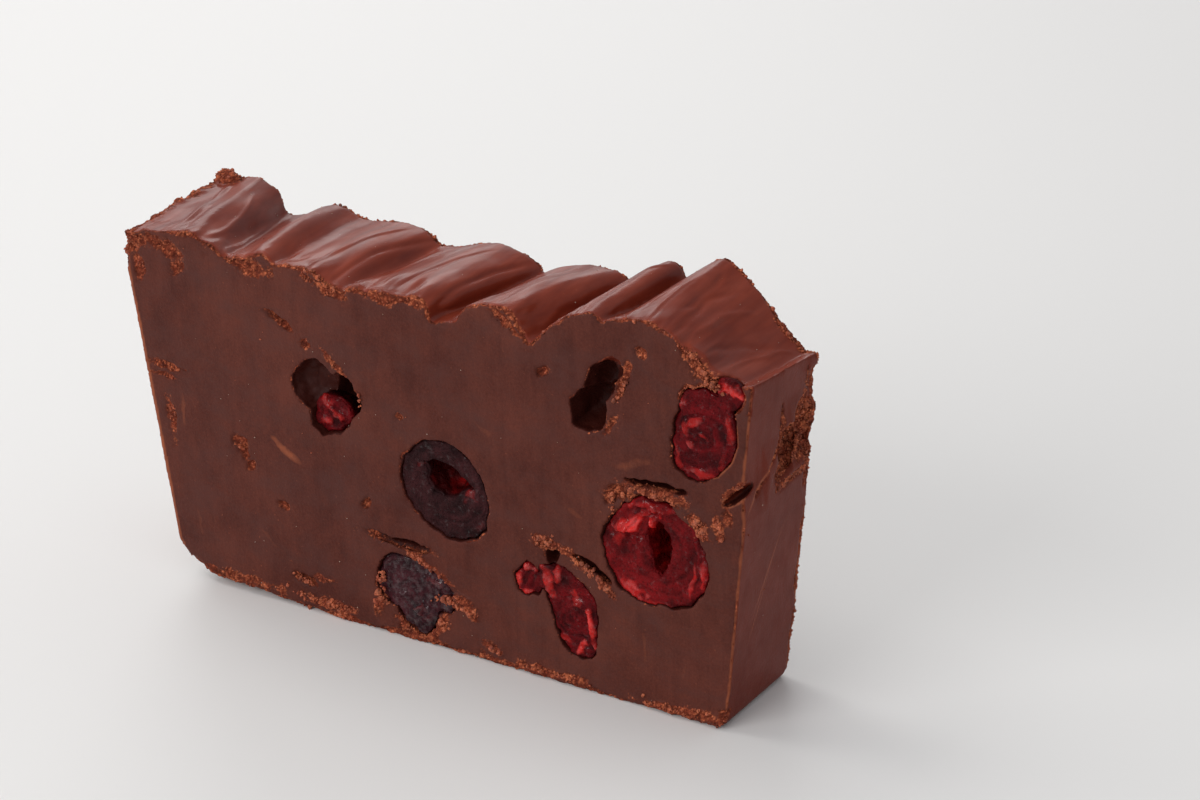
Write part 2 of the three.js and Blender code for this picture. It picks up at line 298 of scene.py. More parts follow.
# Crumbled patches of the front cut: x, z, half length, half width, turn in degrees, depth.
# A negative depth is a ridge of crumbs standing out of the cut.
TORN_PATCHES = [
    (18.0, 63.6, 5.6, 1.5, 0, 0.4),
    (34.0, 62.8, 5.5, 0.8, -18, 0.2),
    (49.0, 63.6, 6.5, 0.8, 3, 0.2),
    (71.5, 64.2, 3.6, 0.9, -36, 0.4),
    (107.4, 64.8, 4.2, 1.9, -52, 0.5),
    (111.0, 61.6, 2.6, 1.5, -30, 0.4),
    (0.5, 63.4, 3.6, 1.3, -14, 0.35),
    (-4.6, 62.6, 2.6, 1.2, 20, 0.3),
    (3.4, 60.0, 1.4, 1.0, 30, 0.3),
    (-4.8, 58.6, 0.9, 2.2, 0, 0.3),
    (-0.5, 40.6, 4.6, 0.6, -2, 0.45),
    (-1.6, 38.8, 3.0, 0.35, 4, 0.2),
    (-0.5, 31.5, 0.8, 4.6, 4, 0.1),
    (14.6, 28.4, 1.2, 2.2, 18, 0.6),
    (16.6, 25.6, 0.7, 0.7, 0, 0.4),
    (24.6, 54.6, 2.9, 0.55, -24, 0.9),
    (78.2, 56.9, 1.1, 0.8, 40, 0.6),
    (97.1, 64.1, 0.9, 0.6, 0, 0.4),
    (49.2, 42.2, 0.8, 0.5, 0, 0.3),
    (41.3, 24.2, 0.9, 0.5, 60, 0.4),
    (23.4, 19.2, 0.7, 0.5, 0, 0.3),
    (48.4, 18.2, 7.4, 0.7, -2, 0.5),
    (53.0, 15.6, 5.6, 0.6, -24, -0.45),
    (91.4, 38.2, 2.2, 1.4, 30, 0.6),
    (99.6, 40.2, 7.0, 0.9, -2, -0.5),
    (99.0, 38.6, 5.8, 0.6, -2, 0.3),
    (107.4, 36.4, 2.6, 1.3, -52, -0.4),
    (77.6, 26.0, 2.2, 1.1, 0, -0.4),
    (82.6, 24.6, 4.0, 0.8, -26, -0.4),
    (89.6, 20.8, 2.2, 1.2, -50, -0.4),
    (43.4, 5.0, 1.2, 3.0, -24, -0.75),
    (44.2, 10.2, 0.8, 1.4, 10, -0.6),
    (58.6, 9.8, 3.6, 1.0, 12, -1.0),
    (62.6, 8.6, 1.2, 0.9, -30, -0.7),
    (56.0, 4.6, 1.0, 2.0, -20, -0.4),
    (93.6, 58.4, 0.6, 3.6, -20, 0.25),
    (91.0, 50.4, 0.6, 2.6, -30, 0.25),
    (113.6, 57.6, 0.5, 4.6, 0, 0.3),
    (114.4, 44.6, 3.4, 0.5, 44, -0.3),
    (112.8, 39.4, 0.8, 1.8, 0, 0.2),
    (66.6, 2.8, 1.9, 0.9, -20, -0.5),
    (27.0, 5.6, 2.6, 0.8, -14, 0.5),
    (31.4, 7.0, 2.2, 0.5, 8, -0.4),
    (14.0, 2.6, 9.0, 1.1, -2, -0.4),
    (33.0, 2.4, 6.0, 1.0, 0, -0.4),
    (36.6, 48.8, 4.6, 0.45, -44, -0.3),
    (30.4, 51.4, 1.0, 0.6, -30, 0.3),
    (104.0, 1.4, 9.0, 0.9, 1, -0.5),
    (78.0, 1.4, 8.0, 0.8, 0, -0.35),
    (111.2, 37.0, 0.7, 2.4, 6, -0.3),
]

# Faint lighter smears drawn over the front cut: x, z, half length, half width, turn, strength.
SMEARS = [
    (24.5, 30.3, 3.6, 0.9, -36, 0.9),
    (2.6, 33.0, 0.7, 5.0, 4, 0.5),
    (4.6, 12.0, 0.6, 4.0, 6, 0.35),
    (96.5, 12.0, 0.5, 5.0, 4, 0.3),
    (104.0, 9.0, 0.4, 4.0, -4, 0.3),
    (66.0, 44.0, 4.0, 0.8, -30, 0.25),
    (95.0, 44.5, 5.0, 0.9, 24, 0.35),
    (52.0, 36.0, 9.0, 1.3, -38, 0.2),
    (84.0, 33.0, 3.0, 0.7, -20, 0.3),
    (115.6, 43.2, 3.6, 0.5, 44, 1.6),
    (20.0, 12.0, 5.0, 0.8, -30, 0.25),
]


def patch_radius(x, z, place, size, turn):
    """How far points lie from a turned oval's middle: 1 on its outline."""
    angle = math.radians(turn)
    along = (x - place[0]) * math.cos(angle) + (z - place[1]) * math.sin(angle)
    across = (z - place[1]) * math.cos(angle) - (x - place[0]) * math.sin(angle)
    return np.sqrt((along / size[0]) ** 2 + (across / size[1]) ** 2)


def smooth_patches(x, z, warp, patches):
    """The strength of soft patches given as x, z, half length, half width, turn, strength."""
    most = np.zeros(len(x))
    for px, pz, length, width, turn, strength in patches:
        radius = patch_radius(x, z, (px, pz), (length, width), turn)
        most = np.maximum(most, strength * (1.0 - ease(0.2, 1.2, radius + 0.4 * warp)))
    return most


def patch_field(x, z, warp):
    """How far each front point lies in a torn patch, and how deep or proud it is there."""
    most = np.zeros(len(x))
    height = np.zeros(len(x))
    for px, pz, length, width, turn, depth in TORN_PATCHES:
        radius = patch_radius(x, z, (px, pz), (length + 0.3, width + 0.3), turn)
        inside = 1.0 - ease(0.45, 1.25, radius + 0.6 * warp)
        most = np.maximum(most, inside)
        height += np.where(inside * abs(depth) > np.abs(height), -inside * depth - height, 0.0)
    return most, height


# Spatula strokes over the top: where each line starts at the front and ends at the rear.
STROKES_FRONT = np.array([-40.0, -6.8, 7.3, 22.6, 37.9, 56.3, 76.1, 89.8, 98.0, 115.0, 150.0])
STROKES_REAR = np.array([-41.0, -7.9, 0.9, 18.5, 41.7, 63.5, 82.0, 92.8, 100.3, 115.6, 151.0])


def across_strokes(x, share):
    """Where a point lies across the strokes, told by its stroke's place on the front rim."""
    result = np.zeros(len(x))
    for k in range(len(STROKES_FRONT) - 1):
        low = STROKES_FRONT[k] + (STROKES_REAR[k] - STROKES_FRONT[k]) * share
        high = STROKES_FRONT[k + 1] + (STROKES_REAR[k + 1] - STROKES_FRONT[k + 1]) * share
        inside = (x >= low) & (x < high)
        part = (x - low) / (high - low)
        value = STROKES_FRONT[k] + part * (STROKES_FRONT[k + 1] - STROKES_FRONT[k])
        result[inside] = value[inside]
    return result


# Creases and lips of the spatula's strokes on the top: where each starts and ends as
# (x, depth), how it bows sideways, half width, and height (negative for a groove).
CREASES = [
    ((1.8, 1.0), (-3.4, 26.0), 0.8, 0.5, 0.45),
    ((5.2, 0.5), (2.4, 14.0), -1.4, 0.7, -0.35),
    ((9.4, 2.0), (4.6, 22.0), 1.2, 0.45, 0.3),
    ((12.6, 0.8), (6.6, 26.0), 0.9, 0.5, 0.4),
    ((25.0, 3.0), (22.0, 12.0), 0.8, 0.6, -0.25),
    ((26.2, 3.0), (23.2, 9.0), 1.0, 0.35, 0.3),
    ((31.0, 1.0), (36.5, 26.0), -1.4, 0.5, 0.35),
    ((36.0, 0.5), (41.0, 26.0), -1.0, 0.55, -0.5),
    ((39.6, 2.0), (45.5, 25.0), -1.6, 0.45, 0.3),
    ((49.0, 1.0), (56.0, 22.0), -2.0, 0.6, -0.3),
    ((56.6, 0.5), (62.5, 24.0), -1.2, 0.5, -0.55),
    ((60.0, 1.0), (66.0, 24.0), -1.6, 0.45, 0.35),
    ((68.0, 4.0), (73.0, 22.0), -1.5, 0.5, -0.25),
    ((76.6, 0.5), (81.5, 22.0), -0.8, 0.5, -0.5),
    ((80.5, 1.0), (86.5, 21.0), -1.4, 0.4, 0.35),
    ((85.0, 0.5), (91.0, 21.0), -1.8, 0.4, 0.4),
    ((91.5, 1.0), (95.0, 20.0), -1.0, 0.4, -0.35),
    ((94.5, 0.8), (97.0, 13.0), -0.8, 0.35, 0.3),
    ((98.0, 0.6), (99.5, 16.0), -1.2, 0.35, 0.3),
    ((100.5, 6.0), (101.5, 20.0), 1.0, 0.5, -0.3),
    ((103.0, 0.8), (105.5, 19.0), -1.6, 0.5, -0.35),
    ((105.6, 1.0), (109.0, 18.0), -2.2, 0.45, 0.35),
    ((108.5, 2.0), (113.5, 16.0), -2.0, 0.6, -0.35),
    ((111.0, 3.0), (115.5, 19.0), -1.2, 0.4, 0.3),
]


def creases_field(points):
    """The height of the strokes' creases and lips at each drawing point."""
    x, depth, _ = points.T
    height = np.zeros(len(x))
    wobble = 0.5 * swell(points, (6.0, 4.0, 40.0), SEED_BODY + 40)
    for (x0, d0), (x1, d1), bow, width, rise in CREASES:
        t = np.clip((depth - d0) / (d1 - d0), 0.0, 1.0)
        middle = x0 + (x1 - x0) * t + 4.0 * bow * t * (1.0 - t) + wobble
        near = np.exp(-(((x - middle) / width) ** 2))
        fade = ease(-0.6, 2.5, depth - d0) * (1.0 - ease(-5.0, 0.6, depth - d1))
        height += near * fade * rise
    return height


def rim_width(x, z, noise):
    """How wide the crumbled band along the front cut's rim is, in millimetres."""
    width = np.full(len(x), 0.14)
    width[z > 58.0] = 0.85
    width[(x > 84.0) & (x < 104.0) & (z > 58.0)] = 0.4
    width[z < 4.0] = 1.5
    return width * (1.0 + 0.8 * noise)


# Small crumbled places on the rear cut, in the same terms as the front's smooth patches.
REAR_PATCHES = [
    (12.0, 47.0, 2.6, 1.0, 20, 1.1),
    (33.0, 18.0, 1.6, 0.9, -30, 1.1),
    (52.0, 50.5, 3.2, 0.8, 12, 1.1),
    (64.0, 27.0, 1.2, 1.0, 0, 1.1),
    (76.0, 9.0, 3.4, 0.8, -8, 1.1),
    (88.0, 41.0, 1.0, 2.2, 10, 1.1),
    (101.0, 22.0, 1.8, 0.7, 40, 1.1),
    (21.0, 30.0, 0.9, 0.8, 0, 1.1),
]


# The torn end: its rear edge, its pit and the ledge under it, as depth, z, half sizes, turn, depth.
END_PATCHES = [
    (17.0, 46.6, 4.4, 4.4, 0, 1.2),
    (13.4, 44.6, 5.4, 2.4, 24, 1.2),
    (18.6, 51.6, 2.2, 5.8, 12, 1.2),
    (15.0, 41.0, 6.6, 1.0, 2, 1.2),
    (19.6, 44.0, 1.3, 9.0, 0, 1.2),
    (9.0, 47.6, 4.2, 0.45, 42, 1.2),
    (3.4, 41.8, 4.4, 0.40, 42, 1.1),
    (1.0, 36.8, 1.3, 0.8, 0, 0.8),
]


# Fine scratches on the end, as depth, z, half length, half width, turn, strength.
END_SCRATCHES = [
    (9.0, 25.0, 11.0, 0.26, 62, 1.1),
    (7.4, 20.0, 9.0, 0.22, 66, 0.9),
    (14.0, 33.5, 4.0, 0.15, 58, 0.5),
    (4.4, 43.2, 6.2, 0.40, 45, 1.4),
    (13.4, 50.6, 5.4, 0.36, 32, 1.2),
]


# The crumbly lump on the rear left of the top, and the broken ridge along the left edge.
LUMP = (-4.9, 26.4, 66.5)
RIDGE_MASK_X = -7.6
RIDGE_LIFT_X = -7.2
# The open holes in the front cut, as lowest and highest x and z.
OPEN_HOLES = [(85.0, 97.0, 46.0, 64.0), (27.0, 42.0, 34.0, 48.0)]
# How far the right end leans out for each millimetre of height.
END_LEAN = 0.1


def sculpt_masks(guide, points):
    """The zones and crumb amounts over the slice, from drawing points."""
    zone, to_front, to_rear = guide.read(points)
    x, depth, z = points.T
    warp = rough(points, 2.0, SEED_BODY + 1, 4)
    wide_warp = swell(points, 5.0, SEED_BODY + 9)
    rim = 1.0 - ease(0.35, 1.0, to_front / np.maximum(rim_width(x, z, wide_warp), 0.1) + 0.45 * warp)
    rear_width = np.where(x > 110.0, 1.5, 0.9) * (1.0 + 0.7 * wide_warp)
    rear = 1.0 - ease(0.35, 1.0, to_rear / rear_width + 0.35 * warp)
    near_front = 1.0 - ease(0.5, 1.6, depth)
    patch, relief = patch_field(x, z, warp)
    crumb = np.maximum(np.maximum(rim, rear), patch * near_front)
    end = ease(*END_BLEND, x) * ease(3.0, 4.5, depth)
    crumb = np.maximum(crumb, end * smooth_patches(depth, z, warp, END_PATCHES))
    torn_end = (zone == guide.HOLLOW) & (x > END_START) & (depth > 7.5)
    crumb[torn_end] = np.maximum(crumb[torn_end], 0.75)
    near_rear = 1.0 - ease(0.3, 1.2, thickness(x) - depth)
    pits = near_rear * smooth_patches(x, z, 1.5 * warp, REAR_PATCHES)
    crumb = np.maximum(crumb, pits)
    relief = relief * near_front - 0.45 * np.clip(pits, 0.0, 1.0)
    lump = np.linalg.norm(points - np.array(LUMP), axis=1)
    crumb = np.maximum(crumb, 1.0 - ease(1.6, 4.2, lump + 1.0 * warp))
    left_ridge = 1.0 - ease(0.6, 3.2, np.abs(x - RIDGE_MASK_X) + 1.2 * warp)
    crumb = np.maximum(crumb, left_ridge * ease(60.0, 61.5, z) * 0.9)
    hollow = (zone == guide.HOLLOW).astype(float)
    skin = (zone == guide.TOP).astype(float)
    cut = ((zone == guide.FRONT) | (zone == guide.REAR)).astype(float)
    # A thin painted highlight along the front rim's upright left and right edges.
    upright = (z > 2.0) & (z < 62.0) & ((x < 0.5) | (x > 110.0)) & (np.abs(depth) < 1.5)
    reach = np.where(x < 0.5, 0.5, 0.0)
    painted_edge_highlight = upright * (1.0 - ease(0.12, 0.5, to_front - reach - 0.12 * warp))
    return crumb, relief, skin, cut, hollow, painted_edge_highlight


# ---- the fudge


def build_fudge():
    guide_piece = copy_of_node("fudge", "guide")
    guide = PlainSlice(guide_piece)
    fudge = copy_of_node("fudge", "fudge_slice")
    bpy.data.objects.remove(guide_piece)
    apply_modifier(fudge, "REMESH", mode="VOXEL", voxel_size=BODY_VOXEL)
    soften_skin(fudge)
    sculpt_fudge(fudge, guide)
    only(fudge)
    bpy.ops.object.shade_smooth()
    return fudge


def soften_skin(fudge):
    """Smooths the facets of the swirled top, away from its cut rims."""
    points = drawn(points_of(fudge))
    x, depth, z = points.T
    from_rims = np.minimum(depth, thickness(x) - depth)
    amount = ease(0.1, 1.2, from_rims) * ease(58.5, 60.0, z)
    group = fudge.vertex_groups.new(name="skin")
    for index in np.nonzero(amount > 0.02)[0]:
        group.add([int(index)], float(amount[index]), "REPLACE")
    apply_modifier(fudge, "SMOOTH", factor=0.6, iterations=14, vertex_group="skin")
    fudge.vertex_groups.clear()


def sculpt_fudge(fudge, guide):
    points = drawn(points_of(fudge))
    normals = normals_of(fudge)
    x, depth, z = points.T
    crumb, relief, skin, cut, hollow, painted_edge_highlight = sculpt_masks(guide, points)

    share = np.clip(depth / thickness(x), 0.0, 1.0)
    wander = 1.6 * swell(points, (14.0, 9.0, 30.0), SEED_BODY + 2)
    stroke = np.stack([across_strokes(x, share) + wander, depth, np.zeros(len(x))], axis=1)
    streaks = 0.62 * swell(stroke, (4.2, 18.0, 1.0), SEED_BODY + 3)
    streaks += 0.14 * swell(stroke, (1.7, 14.0, 1.0), SEED_BODY + 4)
    streaks += 0.04 * swell(stroke, (0.8, 9.0, 1.0), SEED_BODY + 5)
    dimples = swell(points, (8.0, 6.0, 8.0), SEED_BODY + 6)

    drag = swell(points, (1.7, 2.0, 30.0), SEED_BODY + 7)
    waves = swell(points, (14.0, 10.0, 14.0), SEED_BODY + 8)
    clumps = grains(points, 1.15, SEED_BODY + 20)
    bits = grains(points + 0.3, 0.62, SEED_BODY + 30)

    move = skin * (1.0 - crumb) * (0.26 * streaks + 0.30 * dimples + 0.75 * creases_field(points))
    move += cut * (1.0 - crumb) * (0.018 * drag + 0.09 * waves)
    move += (1.0 - skin) * (1.0 - cut) * (1.0 - hollow) * 0.08 * waves
    open_holes = np.zeros(len(x), bool)
    for left, right, low, high in OPEN_HOLES:
        open_holes |= (x > left) & (x < right) & (z > low) & (z < high)
    ragged = np.where(open_holes, 0.42, 0.14)
    move += hollow * (1.0 - crumb) * ragged * rough(points, 2.0, SEED_BODY + 12)
    lift = 0.5 * clumps + 0.5 * bits
    move += crumb * (0.60 * lift + 0.30 * rough(points, 2.4, SEED_BODY + 17) - 0.36)
    move += relief * (1.0 + 0.7 * rough(points, 1.0, SEED_BODY + 14))
    pit = ease(*END_BLEND, x) * smooth_patches(depth, z, 0.0, END_PATCHES[:2])
    move -= pit * (1.3 + 1.2 * rough(points, 2.2, SEED_BODY + 15))
    ridge = 1.0 - ease(0.2, 2.6, np.abs(x - RIDGE_LIFT_X))
    move += skin * ridge * ease(60.0, 61.5, z) * 0.5 * (0.6 + swell(points, 1.8, SEED_BODY + 16))

    moved = points + normals * move[:, None] + unevenness(points)
    moved[:, 2] = np.maximum(moved[:, 2], 0.0)
    move_to(fudge, moved * MM + CORNER)

    warp = rough(points, 1.6, SEED_BODY + 1)
    smear_and_edge_highlight = smooth_patches(x, z, warp, SMEARS) * (1.0 - ease(0.3, 1.0, depth))
    scratch = ease(111.0, 112.0, x) * ease(0.2, 0.8, depth)
    scratch *= smooth_patches(depth, z, 0.15 * warp, END_SCRATCHES)
    # The smear mask also carries the painted edge highlight.
    smear_and_edge_highlight = np.maximum(np.maximum(smear_and_edge_highlight, scratch), painted_edge_highlight)
    masks = {"crumb": crumb, "lift": lift, "smear_and_edge_highlight": smear_and_edge_highlight, "skin": skin, "cut": cut, "hollow": hollow}
    for name, values in masks.items():
        write_mask(fudge, name, values)


fudge = build_fudge()


# ---- the cherries

# For each cherry: where its stone lay (x, z).
CHERRY_STONES = {
    "cherry_dark": (58.0, 32.5),
    "cherry_red": (99.8, 30.3),
    "cherry_upper": (108.0, 52.4),
    "cherry_bottom": (50.0, 9.0),
    "cherry_curl": (83.4, 13.5),
    "cherry_pocket": (34.4, 38.9),
}

# Folds of flesh on each cut, their lighter red partly a painted highlight: x, z, half length, half width,
# turn, height, brightness.
CHERRY_FOLDS = {
    "cherry_dark": [
        (62.6, 30.8, 1.5, 1.7, 20, 0.15, 0.55),
        (66.5, 30.5, 0.4, 3.6, 8, 0.10, 0.40),
        (64.0, 24.6, 3.4, 0.35, 50, 0.10, 0.30),
        (54.0, 34.4, 1.5, 0.6, 20, -0.2, 0.35),
    ],
    "cherry_red": [
        (95.8, 34.6, 3.8, 1.3, 26, 0.75, 0.85),
        (98.6, 34.2, 0.9, 1.7, 10, 0.85, 1.00),
        (92.4, 31.0, 1.3, 2.2, -20, 0.45, 0.55),
        (95.2, 31.8, 3.2, 0.5, 4, -0.45, 0.05),
        (97.5, 37.4, 5.2, 0.6, -2, 0.25, 0.45),
        (95.0, 21.6, 2.8, 1.5, -32, 0.15, 0.55),
        (99.5, 19.9, 5.0, 0.5, 0, 0.2, 0.40),
        (108.2, 27.2, 0.5, 4.6, 0, 0.3, 0.50),
        (106.2, 26.0, 0.35, 3.4, -8, 0.3, 0.55),
    ],
    "cherry_upper": [
        (107.2, 54.6, 1.3, 0.7, 40, 0.30, 0.50),
        (105.6, 53.0, 0.6, 1.1, 10, 0.25, 0.45),
        (108.6, 52.0, 0.9, 0.5, -30, 0.25, 0.40),
        (106.4, 50.6, 0.9, 0.5, -20, 0.25, 0.40),
        (107.8, 45.6, 4.6, 0.7, 4, 0.30, 0.45),
        (103.8, 47.8, 0.6, 2.6, 22, 0.25, 0.45),
        (111.6, 48.2, 0.7, 2.6, -20, 0.3, 0.35),
        (104.8, 57.6, 1.6, 1.1, 30, 0.2, 0.35),
        (112.6, 61.4, 3.4, 1.2, -10, 0.45, 1.00),
        (113.2, 55.0, 0.6, 3.2, 8, 0.25, 0.45),
    ],
    "cherry_bottom": [
        (54.4, 12.4, 2.6, 1.0, -8, 0.35, 0.30),
        (50.4, 13.8, 3.8, 0.5, -4, 0.30, 0.15),
        (51.6, 6.4, 1.3, 1.3, 0, 0.45, 0.35),
        (53.4, 4.6, 1.0, 1.6, -20, 0.30, 0.20),
        (48.4, 8.6, 1.9, 0.8, 10, 0.40, 0.05),
    ],
    "cherry_curl": [
        (74.0, 15.9, 2.0, 0.45, -4, 0.35, 0.75),
        (72.1, 18.2, 0.45, 2.0, 0, 0.35, 0.70),
        (74.4, 20.3, 1.9, 0.45, -10, 0.35, 0.65),
        (78.2, 18.6, 0.8, 2.2, 12, 0.45, 0.80),
        (79.9, 20.0, 0.6, 1.8, -10, 0.35, 0.70),
        (83.6, 17.6, 1.0, 2.0, 10, 0.2, 0.45),
        (86.4, 12.4, 0.5, 3.8, 10, 0.40, 0.95),
        (84.2, 8.0, 0.6, 2.2, -12, 0.35, 0.90),
        (81.6, 8.6, 1.4, 1.2, 0, 0.15, 0.40),
    ],
    "cherry_pocket": [
        (33.8, 41.0, 2.0, 0.9, 28, 0.45, 0.45),
        (35.6, 39.6, 1.6, 0.7, -30, 0.40, 0.60),
        (33.2, 37.6, 1.6, 1.0, 10, 0.30, 0.50),
    ],
}


# How far the flesh swells into the gap round it, in millimetres.
FLESH_SWELL = 0.34


def folds_field(x, z, warp, folds):
    """How high the folds of flesh are at each point, and how much lighter red, partly as painted highlight.
    """
    height = np.zeros(len(x))
    bright_flesh_and_highlight = np.zeros(len(x))
    for px, pz, length, width, turn, rise, shine in folds:
        radius = patch_radius(x, z, (px, pz), (length + 0.15, width + 0.15), turn)
        inside = 1.0 - ease(0.25, 1.25, radius + 1.1 * warp)
        height += inside * rise
        bright_flesh_and_highlight = np.maximum(bright_flesh_and_highlight, inside * shine)
    return height, bright_flesh_and_highlight


def cut_outline(piece, recess):
    """A tree of points round the flat cut of a plain cherry."""
    mesh = piece.data
    mesh.calc_loop_triangles()
    corners = drawn([v.co for v in mesh.vertices])
    flat = np.abs(corners[:, 1] - recess) < 0.02
    owners = {}
    for triangle in mesh.loop_triangles:
        face = tuple(triangle.vertices)
        is_cut = all(flat[v] for v in face)
        for k in range(3):
            edge = tuple(sorted((face[k], face[(k + 1) % 3])))
            owners.setdefault(edge, []).append(is_cut)
    points = []
    for (start, end), cuts in owners.items():
        if sum(cuts) == 1:
            a, b = corners[start], corners[end]
            points.extend(a + (b - a) * k / 6 for k in range(6))
    return tree_of(points)


def build_cherry(node, seed):
    piece = copy_of_node(node, node.replace("cherry_", "") + "_cherry")
    recess = drawn([v.co for v in piece.data.vertices])[:, 1].min()
    outline = cut_outline(piece, recess)
    apply_modifier(piece, "REMESH", mode="VOXEL", voxel_size=CHERRY_VOXEL)
    points = drawn(points_of(piece))
    normals = normals_of(piece)
    stone_x, stone_z = CHERRY_STONES[node]
    x, depth, z = points.T
    to_edge = np.array([outline.find(Vector(p))[2] for p in points])
    shallow = 1.0 - ease(0.15, 0.7, depth - recess)
    pit = ease(0.3, 2.0, depth - recess) * (normals[:, 1] < 0.45)
    around = np.arctan2(z - stone_z, x - stone_x)
    reach = np.hypot(x - stone_x, z - stone_z)
    twist = rough(points, 3.0, seed)
    warp = rough(points, 1.5, seed + 2, 4)
    folds, bright_flesh_and_highlight = folds_field(x, z, warp, CHERRY_FOLDS[node])
    rings = swell(np.stack([reach, around * 0.35, depth], axis=1), (0.55, 0.4, 9.0), seed + 11)
    pores = grains(points, 0.7, seed + 3)
    beads = grains(points + 0.2, 0.42, seed + 13)
    edge = 1.0 - ease(0.0, 0.9, to_edge)
    move = shallow * (0.42 * rough(points, 2.2, seed + 5, 4) + 0.14 * rings + folds)
    move += shallow * (0.14 * pores + 0.08 * beads - 0.12)
    move -= shallow * edge * 0.12
    move += (1.0 - shallow) * 0.30 * rough(points, 1.3, seed + 9)
    moved = points + normals * (move + FLESH_SWELL)[:, None] + unevenness(points)
    moved[:, 1] += 0.8 * FLESH_SWELL * shallow
    move_to(piece, moved * MM + CORNER)
    ripple = 0.5 + 0.5 * np.clip(0.6 * rings + 0.9 * twist + 0.4 * warp, -1.0, 1.0)
    # The folds' lighter red, partly a painted highlight.
    write_mask(piece, "bright_flesh_and_highlight", bright_flesh_and_highlight * shallow * (0.35 + 0.65 * ripple))
    write_mask(piece, "ripple", ripple)
    # How deep a point lies in the stone hollow: the hollow's colour grows with it, for most cherries darker
    # there as painted shade.
    write_mask(piece, "pit", pit)
    only(piece)
    bpy.ops.object.shade_smooth()
    return piece


cherries = {}
for number, node in enumerate(CHERRY_STONES):
    cherries[node] = build_cherry(node, SEED_CHERRIES + 17 * number)


# ---- crumbs and specks

CRUMB_COUNT = 5200
CRUMB_SIZE = (0.15, 0.42)
CLOD_COUNT = 300
CLOD_SIZE = (0.40, 0.85)
SPECK_COUNT = 240
SPECK_SIZE = (0.09, 0.2)


def crumb_shapes(kinds, segments, rings, wobble, seed):
    """Point and face lists of a few uneven crumbs, each made from a small sphere."""
    shapes = []
    for kind in range(kinds):
        bpy.ops.mesh.primitive_uv_sphere_add(segments=segments, ring_count=rings, radius=1.0)
        crumb = bpy.context.object
        points = points_of(crumb)
        points *= (1.0 + wobble * swell(points, 0.8, seed + kind))[:, None]
        faces = [list(face.vertices) for face in crumb.data.polygons]
        shapes.append((points, faces))
        bpy.data.objects.remove(crumb)
    return shapes


def turned(random):
    """A random turn as a 3 by 3 matrix."""
    spin = random.normal(size=4)
    spin /= np.linalg.norm(spin)
    w, i, j, k = spin
    return np.array([
        [1 - 2 * (j * j + k * k), 2 * (i * j - k * w), 2 * (i * k + j * w)],
        [2 * (i * j + k * w), 1 - 2 * (i * i + k * k), 2 * (j * k - i * w)],
        [2 * (i * k - j * w), 2 * (j * k + i * w), 1 - 2 * (i * i + j * j)],
    ])


class Heap:
    """Crumbs gathered into one mesh."""

    def __init__(self):
        self.points = []
        self.faces = []
        self.count = 0

    def lay(self, crumb, stretch, spin, size, middle):
        shape, sides = crumb
        self.points.append((shape * stretch) @ spin.T * (size * 0.5 * MM) + np.array(middle))
        self.faces.extend([v + self.count for v in side] for side in sides)
        self.count += len(shape)

    def build(self, name):
        mesh = bpy.data.meshes.new(name)
        mesh.from_pydata(np.concatenate(self.points).tolist(), [], self.faces)
        piece = bpy.data.objects.new(name, mesh)
        bpy.context.scene.collection.objects.link(piece)
        return piece


def scatter(name, base, weights, count, sizes, shapes, sink, seed):
    """One joined mesh of crumbs, resting on base where weights are high."""
    random = np.random.default_rng(seed)
    polygons = base.data.polygons
    centres = values_of(polygons, "center")
    normals = values_of(polygons, "normal")
    chance = values_of(polygons, "area", 1) * weights
    heap = Heap()
    for face in random.choice(len(polygons), size=count, p=chance / chance.sum()):
        crumb = shapes[random.integers(len(shapes))]
        size = sizes[0] + (sizes[1] - sizes[0]) * random.random() ** 2.2
        stretch = random.uniform(0.65, 1.25, size=3)
        middle = centres[face] + normals[face] * size * MM * (0.5 - sink)
        middle[2] = max(middle[2], size * 0.5 * MM)
        heap.lay(crumb, stretch, turned(random), size, middle)
    return heap.build(name)


def face_values(piece, name):
    """A point mask of a piece, averaged over each of its faces."""
    values = np.empty(len(piece.data.vertices), np.float32)
    piece.data.attributes[name].data.foreach_get("value", values)
    corners = np.empty(len(piece.data.loops), int)
    piece.data.loops.foreach_get("vertex_index", corners)
    starts = np.empty(len(piece.data.polygons), int)
    piece.data.polygons.foreach_get("loop_start", starts)
    totals = np.add.reduceat(values[corners], starts)
    sides = np.diff(np.append(starts, len(corners)))
    return totals / sides


# Clusters of loose crumbs on the front cut: x, z, half length, half width, turn, how many.
CLUSTERS = [
    (43.6, 10.2, 0.7, 1.6, 10, 12),
    (43.4, 5.6, 1.2, 2.6, -24, 26),
    (58.6, 9.9, 3.2, 0.9, 12, 34),
    (62.6, 8.6, 1.0, 0.9, 0, 10),
    (56.6, 4.4, 0.8, 1.8, -20, 12),
    (99.6, 39.9, 6.6, 0.8, -2, 40),
    (107.6, 36.0, 2.2, 1.2, -52, 26),
    (91.2, 36.6, 0.9, 2.0, 10, 16),
    (77.8, 26.2, 2.0, 1.0, 0, 22),
    (86.6, 22.6, 4.2, 0.9, -34, 34),
    (53.2, 15.6, 4.6, 0.5, -24, 26),
    (110.8, 61.8, 2.2, 0.9, -30, 16),
    (41.2, 43.4, 0.4, 2.4, 0, 8),
    (93.4, 57.6, 0.5, 3.4, -20, 18),
    (66.6, 2.8, 1.4, 0.7, -20, 8),
    (101.5, 1.3, 5.0, 0.7, 0, 34),
    (78.0, 1.3, 7.0, 0.6, 0, 22),
    (30.0, 2.6, 7.0, 0.9, 0, 40),
    (27.0, 5.8, 2.4, 0.6, -14, 18),
    (111.2, 37.0, 0.4, 1.8, 6, 12),
]


